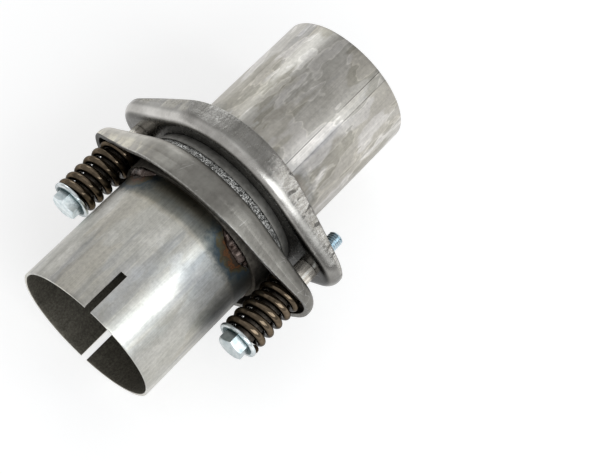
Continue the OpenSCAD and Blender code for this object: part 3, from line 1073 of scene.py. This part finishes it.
def flange_rings(side, pipe_r, crease):
    """Rings of points, and the first ring of the cut edge and of the inside."""
    rim = outline(0)
    edge = skirt_depth - (edge_arc_r - np.sqrt(edge_arc_r**2 - rim[:, 0] ** 2))
    turn = np.arctan2(rim[:, 1], rim[:, 0])
    circle = np.stack([np.cos(turn), np.sin(turn)], 1)
    bore = pipe_r + fit
    outer_neck = bore + neck_wall
    rings = []

    def ring(flat, depth):
        rings.append(np.column_stack([side * (face_x + np.broadcast_to(depth, len(flat))), flat]))

    # bore of the neck, its rounded mouth, and the flat face
    ring(circle * bore, neck_depth)
    ring(circle * bore, 2.0)
    for a in np.radians((0, 30, 60, 90)):
        ring(circle * (bore + neck_mouth - neck_mouth * math.cos(a)), neck_mouth - neck_mouth * math.sin(a))
    start = circle * (bore + neck_mouth)
    for s in (0.25, 0.5, 0.75, 1.0):
        ring(start + s * (outline(bend_r) - start), 0.0)
    # bend and skirt
    for a in np.radians(np.arange(9, 91, 9)):
        ring(outline(bend_r * (1 - math.sin(a))), bend_r * (1 - math.cos(a)))
    for s in (0.2, 0.36, 0.4, 0.44, 0.6, 0.8):
        ring(outline(crease if s >= 0.4 else 0.0), bend_r + s * (edge - edge_soft - bend_r))
    # rounded cut edge
    first_edge = len(rings)
    for a in np.radians((0, 45, 90)):
        ring(outline(crease + edge_soft * (1 - math.cos(a))), edge - edge_soft + edge_soft * math.sin(a))
    for a in np.radians((0, 45, 90)):
        ring(outline(sheet - edge_soft * (1 - math.sin(a))), edge - edge_soft + edge_soft * math.cos(a))
    # inside of skirt, bend and face, and the outside of the neck
    first_inside, inner_r = len(rings), bend_r - sheet
    for s in (0.5, 0.0):
        ring(outline(sheet), bend_r + s * (edge - edge_soft - bend_r))
    for a in np.radians(np.arange(75, -1, -15)):
        ring(outline(sheet + inner_r * (1 - math.sin(a))), sheet + inner_r * (1 - math.cos(a)))
    foot = circle * (outer_neck + neck_fillet)
    for s in (0.66, 0.33, 0.0):
        ring(foot + s * (outline(bend_r) - foot), sheet)
    for a in np.radians((30, 60, 90)):
        r = outer_neck + neck_fillet - neck_fillet * math.sin(a)
        ring(circle * r, sheet + neck_fillet - neck_fillet * math.cos(a))
    for a in np.radians((0, 45, 90)):
        r = outer_neck - edge_soft * (1 - math.cos(a))
        ring(circle * r, neck_depth - edge_soft + edge_soft * math.sin(a))
    return rings, first_edge, first_inside


print("flange shape: flange_rings")

# %% [markdown]
# Joining each ring to the next closes the pressing. Its outside is pressed
# steel, its edge is bare and its inside is scale. Then the two bolt holes are
# drilled: wide in the socket flange, which has room to tilt, and close in the
# spigot flange.

# %% Both flanges
def flange(name, side, pipe_r, hole_r, crease, steel, body):
    rings, first_edge, first_inside = flange_rings(side, pipe_r, crease)
    n, m = len(rings[0]), len(rings)
    faces, skins = [], []
    for k in range(m):
        l = (k + 1) % m
        for i in range(n):
            j = (i + 1) % n
            face = (k * n + i, k * n + j, l * n + j, l * n + i)
            faces.append(face if side > 0 else face[::-1])
            skins.append(2 if first_edge <= k < first_inside - 1 else int(k >= first_inside - 1))
    obj = piece(name, np.concatenate(rings), faces, steel, 38)
    obj.data.materials.append(scale_skin)
    obj.data.materials.append(cut_edge)
    obj.data.polygons.foreach_set("material_index", skins)
    for y in (bolt_y, -bolt_y):
        x0, x1 = sorted((side * (face_x - 3), side * (face_x + sheet + 3)))
        points, drill = revolve([(x0, 0.0), (x0, hole_r), (x1, hole_r), (x1, 0.0)], 48, shift_y=y)
        cut(obj, piece("drill", points, drill, steel))
    obj.data.set_sharp_from_angle(angle=math.radians(38))
    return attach(obj, body)


wide_hole_r, close_hole_r = 7.3, 4.4
socket_dish = flange("socket_dish", -1, socket_r, wide_hole_r, 0.1, socket_sheet, "socket_side")
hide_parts("socket_flange")
spigot_dish = flange("spigot_dish", 1, spigot_r, close_hole_r, 0.06, spigot_sheet, "spigot_side")
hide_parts("spigot_flange")
print("flanges:", len(socket_dish.data.polygons), "and", len(spigot_dish.data.polygons), "faces")

# %% [markdown]
# ## Welds
#
# Four short beads tie each pipe to the neck of its flange. A bead is a
# quarter round in section, swept round the pipe. Slow lumps, a fine ripple
# and a drifting toe make it look laid by hand, and both ends sink to the
# pipe. The drift comes from a fixed random seed, so it is the same each run.

# %% Weld beads
weld_span, weld_leg, ripples = 36, 4.4, 13


def beads(name, side, pipe_r, body):
    root, foot = pipe_r - 0.1, side * (face_x + neck_depth - 0.3)
    points, faces = [], []
    steps, across = 96, 14
    random = np.random.default_rng(7)
    for turn in weld_turns:
        first = len(points)
        drift = random.normal(0, 0.12, steps + 1).cumsum() * 0.25
        drift -= np.linspace(drift[0], drift[-1], steps + 1)
        for i in range(steps + 1):
            s = i / steps
            way = 2 * math.pi * s
            a = math.radians(turn + weld_span * (s - 0.5))
            end = min(1.0, 3.4 * min(s, 1 - s) + 0.05) ** 0.6
            lump = 0.16 * math.sin(way * 3.1 + turn) + 0.1 * math.sin(way * 6.7 + 2 * turn)
            lump += 0.03 * math.sin(way * ripples) - 0.26
            for j in range(across + 1):
                b = math.pi / 2 * j / across
                bow = 1.0 + 0.10 * math.sin(2 * b)
                lead = 0.06 * math.cos(b) * math.sin(2 * math.pi * (s * ripples + 0.25))
                r = root + (neck_wall + 0.1) * end * math.sin(b) * bow + lump * end
                x = foot + side * (weld_leg * end * math.cos(b) * bow * 0.97 + lead + drift[i] * 0.5)
                points.append((x, r * math.cos(a), r * math.sin(a)))
            points.append((foot, root * math.cos(a), root * math.sin(a)))
        row = across + 2
        for i in range(steps):
            for j in range(row):
                k = (j + 1) % row
                face = tuple(first + q * row + p for q, p in ((i, j), (i, k), (i + 1, k), (i + 1, j)))
                faces.append(face[::-1] if side > 0 else face)
        for i, flip in ((0, side > 0), (steps, side < 0)):
            cap = tuple(first + i * row + j for j in range(row))
            faces.append(cap if flip else cap[::-1])
    obj = piece(name, points, faces, weld_metal, 60)
    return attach(obj, body)


socket_beads = beads("socket_beads", -1, socket_r, "socket_side")
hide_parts("socket_welds")
spigot_beads = beads("spigot_beads", 1, spigot_r, "spigot_side")
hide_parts("spigot_welds")
print("weld faces:", len(socket_beads.data.polygons) + len(spigot_beads.data.polygons))

# %% [markdown]
# ## Seat cup
#
# The cup is a turned ring, hollowed to a ball on the side that the seal turns
# in. A revolved profile gives that ball exactly, and a few points round the
# rim.

# %% Seat cup
def ball_arc(r, start, stop, n):
    """Points (x, r) on a ball about the centre of the seat."""
    return [(ball_x + r * math.cos(a), r * math.sin(a)) for a in np.linspace(start, stop, n)]


low, top = (math.acos((x - ball_x) / ball_r) for x in (cup_floor_x, cup_rim_x))
profile = [(face_x, spigot_r + fit), (cup_floor_x, spigot_r + fit)] + ball_arc(ball_r, low, top, 14)
profile += [(cup_rim_x, cup_r - 0.25), (cup_rim_x + 0.1, cup_r - 0.08), (cup_rim_x + 0.3, cup_r - 0.03)]
profile += [(cup_rim_x + 2.0, cup_r - 0.2), (face_x, cup_foot_r)]
points, faces = revolve(profile, 180)
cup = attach(piece("ball_seat", points, faces, dark_steel, 30), "spigot_side")
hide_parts("seat_cup")
print("cup wall at the rim:", cup_wall, "mm")

# %% [markdown]
# ## Seal ring
#
# The seal is a ring of pressed wire. A bump map alone looks like sand, since
# the real strands are flat and each one mirrors the lamp on its own. So the
# ring is a plain core, a little smaller than the ball, with real strands laid
# on it.

# %% Seal core
seal_r, seal_back_x, seal_bore_r = ball_r - 0.3, -face_x + 0.3, socket_r + fit
high = math.acos((seal_back_x - ball_x) / seal_r)
thin_end = math.asin((seal_bore_r + 0.9) / seal_r)
surface = ball_arc(seal_r - 0.25, thin_end, high, 18)
profile = surface + [(seal_back_x + 0.05, seal_bore_r), (surface[0][0], seal_bore_r)]
# the dark core is painted shade between the strands
core = piece("seal_core_ring", *revolve(profile, 180), mesh_core, 40)
print("seal radius:", round(seal_r, 2), "mm")

# %% [markdown]
# A strand is a flat ribbon of five points that lies on the ball, bent a
# little within it and rolled a little about its length. Only the band that
# shows between the flanges gets strands.

# %% Seal strands
random = np.random.default_rng(11)
points, faces, strand_count = [], [], 3400
for _ in range(strand_count):
    turn, tilt = random.uniform(0, 360), random.uniform(high - 0.11, high - 0.003)
    heading, curve = random.uniform(0, math.pi), random.normal(0, 0.5)
    length, width = random.uniform(0.5, 1.3), random.uniform(0.11, 0.19)
    lift, roll = seal_r - random.uniform(0.03, 0.2), random.uniform(-0.09, 0.09)
    first = len(points)
    for k in range(5):
        s = (k - 2) / 4 * length
        h = heading + curve * s
        a = math.radians(turn) + s * math.sin(h) / (seal_r * math.sin(tilt))
        b = min(tilt + s * math.cos(h) / seal_r, high - 0.002)
        for side in (-1, 1):
            q = min(b - side * width * math.sin(h) / seal_r, high)
            t = a + side * width * math.cos(h) / (seal_r * math.sin(b))
            for up in (0.0, -0.09):
                r = min(lift + up + side * roll + (0.05 if 0 < k < 4 else 0.0), seal_r - 0.01)
                x, out = ball_x + r * math.cos(q), r * math.sin(q)
                points.append((x, out * math.cos(t), out * math.sin(t)))
    for p in range(first, first + 16, 4):
        faces += [(p, p + 4, p + 6, p + 2), (p + 1, p + 3, p + 7, p + 5)]
        faces += [(p, p + 1, p + 5, p + 4), (p + 2, p + 6, p + 7, p + 3)]
    p = first + 16
    faces += [(first, first + 2, first + 3, first + 1), (p, p + 1, p + 3, p + 2)]
strands = piece("seal_wire_strands", points, faces, mesh_wire, 50)
strands.parent = core
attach(core, "seal")
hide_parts("seal_ring")
print("seal strands:", len(strands.data.polygons), "faces")

# %% [markdown]
# ## Hexagons and threads
#
# A bolt head or nut is a round grid whose radius follows six flats. The
# chamfer lowers every point outside the inscribed circle, which draws the
# curved corners of a real head.

# %% Hexagon
def hex_block(x_flat, x_crown, y, bore=0.0, flats=13.0):
    """A hexagon from x_flat to x_crown, chamfered at the crown."""
    steps = 96
    turn = 2 * math.pi * np.arange(steps) / steps
    reach = flats / 2 / np.cos((turn + math.pi / 6) % (math.pi / 3) - math.pi / 6)
    way = 1 if x_crown > x_flat else -1
    chamfer = np.maximum(0, reach - flats / 2 * 0.97) * math.tan(math.radians(30))
    flat_r = flats / 2 * 0.95
    rings = [(bore, x_flat), (flat_r, x_flat), (reach, x_flat), (reach, x_crown - way * chamfer),
             (flat_r, x_crown), (bore, x_crown)]
    points, faces = [], []
    for r, x in rings:
        x, r = np.broadcast_to(x, steps), np.broadcast_to(r, steps)
        points.append(np.stack([x, y + r * np.cos(turn), r * np.sin(turn)], 1))
    for k in range(len(rings) if bore else len(rings) - 1):
        l = (k + 1) % len(rings)
        for i in range(steps):
            j = (i + 1) % steps
            face = (k * steps + i, k * steps + j, l * steps + j, l * steps + i)
            faces.append(face if way < 0 else face[::-1])
    return np.concatenate(points), faces


print("fastener shape: hex_block")

# %% [markdown]
# A thread could be cut by a boolean with a helix, which leaves ragged slivers.
# Here it is a groove that winds: on each ring of the shank, the radius
# depends on the angle plus the distance along the bolt.

# %% Threaded rod
bolt_r, thread_pitch, thread_depth = 4.0, 1.25, 0.68


def threaded_rod(x0, x1, thread_from, y):
    """A shank with a helical thread from thread_from to the chamfered tip."""
    steps = 40
    turn = 2 * math.pi * np.arange(steps) / steps
    rings = [(x0, 0.01), (x0, bolt_r), (thread_from - 0.6, bolt_r), (thread_from, bolt_r - 0.35)]
    for x in np.arange(thread_from + 0.15, x1 - 0.02, thread_pitch / 7):
        phase = (x / thread_pitch - turn / (2 * math.pi)) % 1.0
        height = np.minimum(1.0, 1.25 * np.abs(2 * phase - 1))
        tip_r = min(bolt_r, bolt_r - 1.0 + 1.3 * np.clip((x1 - x) / 1.2, 0, 1))
        rings.append((x, np.minimum(bolt_r - thread_depth + thread_depth * height, tip_r)))
    rings += [(x1, bolt_r - 1.05), (x1, 0.01)]
    rows = [np.stack([np.full(steps, x), y + q * np.cos(turn), q * np.sin(turn)], 1) for x, q in rings]
    faces = []
    for k in range(len(rows) - 1):
        for i in range(steps):
            j = (i + 1) % steps
            faces.append((k * steps + i, (k + 1) * steps + i, (k + 1) * steps + j, k * steps + j))
    return np.concatenate(rows), faces


print("thread pitch:", thread_pitch, "mm")

# %% [markdown]
# ## Bolts, washers, sleeves and nuts
#
# Each bolt passes a washer, a spring, a spacer sleeve and both flanges, and
# ends in a nut that is welded to the spigot flange. All but the spring stay
# with the spigot side. The sleeve is bright only where it shows between the
# flanges. Inside the spring it is painted dark as shade.

# %% Fasteners
washer_x, washer_t, washer_r = -44.3, 1.6, 10.8
head_x, head_height, bolt_tip_x = washer_x - washer_t, 5.5, 27.5
sleeve_r, oiled_to, ring_bore_r = 5.6, -9.0, 4.25
nut_x, nut_height = face_x + sheet + fit, 6.5


def rounded_ring(x0, x1, inner, outer, soft):
    """The profile of a ring with softened outer edges."""
    return [(x0, inner), (x0, outer - soft), (x0 + soft * 0.3, outer - soft * 0.3), (x0 + soft, outer),
            (x1 - soft, outer), (x1 - soft * 0.3, outer - soft * 0.3), (x1, outer - soft), (x1, inner)]


for y, where in ((bolt_y, "left"), (-bolt_y, "right")):
    head = piece("bolt_head_" + where, *hex_block(head_x, head_x - head_height, y), zinc, 25)
    rod = piece("bolt_thread_" + where, *threaded_rod(head_x, bolt_tip_x, 2.0, y), thread_zinc, 50)
    rod.parent = head
    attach(head, "spigot_side")
    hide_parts("bolt_" + where)

    points, faces = revolve(rounded_ring(head_x, washer_x, ring_bore_r, washer_r, 0.45), 72, shift_y=y)
    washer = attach(piece("washer_disc_" + where, points, faces, washer_zinc, 40), "spigot_side")
    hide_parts("washer_" + where)

    profile = rounded_ring(washer_x, face_x, ring_bore_r, sleeve_r, 0.3)
    profile.insert(4, (oiled_to, sleeve_r))
    points, faces = revolve(profile, 56, shift_y=y)
    # faces inside the spring get the painted shade
    oiled = [max(points[corner][0] for corner in face) < oiled_to + 0.01 for face in faces]
    spacer = piece("spacer_" + where, points, faces, turned_steel, 40)
    spacer.data.materials.append(oily_steel)
    spacer.data.polygons.foreach_set("material_index", np.array(oiled, np.int32))
    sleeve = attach(spacer, "spigot_side")
    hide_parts("sleeve_" + where)

    points, faces = hex_block(nut_x, nut_x + nut_height, y, bore=4.05)
    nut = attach(piece("weld_nut_" + where, points, faces, nut_steel, 25), "spigot_side")
    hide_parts("nut_" + where)
print("fasteners: 2 bolts, 2 washers, 2 sleeves, 2 nuts")

# %% [markdown]
# ## Springs
#
# A spring is a round wire swept along a helix. The rise per turn is small in
# the closed turns at both ends and full between them. Grinding the ends flat
# is a clamp on the X position.

# %% Spring shape
wire_r, coil_r, coil_pitch = 2.15, 8.6, 6.0
spring_length, closed_turns, ground_off = 36.35, 0.75, 1.4


def spring(name, y, start):
    tight = 2 * wire_r + 0.1
    working = (spring_length - 2 * ground_off - 2 * closed_turns * tight) / coil_pitch
    turns = working + 2 * closed_turns
    steps, sides = int(turns * 56), 18
    t = np.linspace(0, turns, steps + 1)[:, None]
    rise = ground_off + tight * np.minimum(t, closed_turns)
    rise = rise + coil_pitch * np.clip(t - closed_turns, 0, working)
    rise = rise + tight * np.maximum(t - closed_turns - working, 0)
    a, s = 2 * math.pi * t + math.radians(start), 2 * math.pi * np.arange(sides)[None, :] / sides
    lean = math.atan(coil_pitch / (2 * math.pi * coil_r))
    out, up = coil_r + wire_r * np.cos(s), wire_r * np.sin(s)
    along = np.clip(rise + up * math.cos(lean), 0.0, spring_length)
    # the wire starts at `start` degrees from -Z, as the solid spring does
    down = out * np.cos(a) + up * math.sin(lean) * np.sin(a)
    across = out * np.sin(a) - up * math.sin(lean) * np.cos(a)
    grid = np.stack([washer_x + 0.05 + along, y + across, -down], -1).reshape(-1, 3)
    faces = []
    for i in range(steps):
        for j in range(sides):
            k = (j + 1) % sides
            faces.append((i * sides + j, (i + 1) * sides + j, (i + 1) * sides + k, i * sides + k))
    faces.append(tuple(range(sides)))
    faces.append(tuple(steps * sides + j for j in range(sides))[::-1])
    return piece(name, grid, faces, spring_wire, 40)


print("spring shape: pitch", coil_pitch, "mm, wire", 2 * wire_r, "mm")

# %% [markdown]
# When the joint is pulled out, the socket flange pushes the springs towards
# their washers. The full slide of 5 mm takes that much from the 36.4 mm
# between washer and flange. A spring can't ride on one rigid body and follow
# that, so both coils ride on a body of their own, springs, and each gets a
# mesh of its own.

# %% Both springs
for side, where, start in ((1, "left", 75), (-1, "right", 285)):
    coil = spring("coil_" + where, side * bolt_y, start)
    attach(coil, "springs")
    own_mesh(coil)
    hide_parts("spring_" + where)
print("springs: 2, each with", len(coil.data.polygons), "faces")

# %% [markdown]
# ## Floor
#
# The joint was photographed on white. A white floor lit until it clips would
# throw its light back on the metal, so the floor is a mid grey that takes the
# shadow, and adds a glow that only camera, glossy and transmission rays see.

# %% Floor
floor_z = cad_box[0][2]
mesh = bpy.data.meshes.new("floor")
mesh.from_pydata([(x, y, floor_z) for x, y in ((-6, -6), (6, -6), (6, 6), (-6, 6))], [], [(0, 1, 2, 3)])
floor = bpy.data.objects.new("floor", mesh)
bpy.context.scene.collection.objects.link(floor)
material = bpy.data.materials.new("floor")
material.use_nodes = True
tree = material.node_tree
tree.nodes.remove(tree.nodes["Principled BSDF"])
matt = node(tree, "BsdfDiffuse", (0.6, 0.6, 0.6, 1)).outputs[0]
path = node(tree, "LightPath").outputs
seen = calc(tree, "ADD", path["Is Camera Ray"], path["Is Glossy Ray"])
seen = calc(tree, "ADD", seen, path["Is Transmission Ray"], clamp=True)
glow = node(tree, "Emission", (1, 1, 1, 1), calc(tree, "MULTIPLY", seen, 0.56)).outputs[0]
lit = node(tree, "AddShader", matt, glow).outputs[0]
feed(tree, tree.nodes["Material Output"].inputs["Surface"], lit)
mesh.materials.append(material)
floor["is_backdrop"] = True
print("floor at z =", round(floor_z / MM, 2), "mm")

# %% [markdown]
# ## Light
#
# Metal shows its lamps, so their shape matters more than their power. A wide
# soft key stands on the right and draws the bright band along both pipes. A
# weak fill hangs above, a small lamp behind the left ear lifts the far
# flange, and a grey world lights what is left.

# %% World and lamps
world = bpy.data.worlds.new("studio")
bpy.context.scene.world = world
world.use_nodes = True
sky = world.node_tree.nodes["Background"].inputs
sky["Strength"].default_value = 0.5
sky["Color"].default_value = (1, 1, 1, 1)


def lamp(name, aim, distance, width, height, watts):
    """A soft rectangular lamp, seen from the joint in direction aim."""
    data = bpy.data.lights.new(name, "AREA")
    data.shape, data.size, data.size_y, data.energy = "RECTANGLE", width, height, watts
    data.color = (0.95, 0.98, 1.0)
    obj = bpy.data.objects.new(name, data)
    direction = mathutils.Vector(aim).normalized()
    obj.location = direction * distance
    obj.rotation_euler = direction.to_track_quat("Z", "Y").to_euler()
    bpy.context.scene.collection.objects.link(obj)
    return obj


key = lamp("key", (-0.18, -0.77, 0.60), 1.0, 1.2, 0.56, 5.5)
fill = lamp("fill", (0.14, 0.20, 0.95), 1.4, 0.9, 1.1, 1.0)
back = lamp("back", (0.55, 0.72, 0.42), 1.2, 0.5, 0.45, 1.2)
print("lamps:", ", ".join(f"{one.name} {one.data.energy:.1f} W" for one in (key, fill, back)))

# %% [markdown]
# ## Camera
#
# The camera was solved from the round ends of both pipes and the line of the
# bolts: a 90 mm lens, three quarters of a metre away. Its three axes are
# given as directions in the frame of the part.

# %% Camera
camera = bpy.data.cameras.new("camera")
camera.sensor_fit, camera.sensor_width, camera.lens = "HORIZONTAL", 36.0, 90.0
camera.clip_start, camera.clip_end = 0.01, 50.0
view = bpy.data.objects.new("camera", camera)
view_right, view_up = (0.652, -0.7555, 0.0633), (0.6675, 0.6116, 0.4247)
view_back, view_from = (-0.3596, -0.2347, 0.9031), (-0.24724, -0.21202, 0.65857)
rows = zip(view_right, view_up, view_back, view_from)
view.matrix_world = mathutils.Matrix([*rows, (0, 0, 0, 1)])
bpy.context.scene.collection.objects.link(view)
bpy.context.scene.camera = view
bpy.context.scene.view_settings.view_transform = "Standard"
print("camera at", [round(v, 3) for v in view_from])

# %% [markdown]
# ## Sizes and finish
#
# The dressed joint stays inside the box of its solids. Both boxes are printed.

# %% Sizes and finish
seen_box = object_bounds()
boxes = {name: [[round(v, 6) for v in corner] for corner in box] for name, box in (("cad", cad_box), ("seen", seen_box))}
for name, box in boxes.items():
    print(name, box)
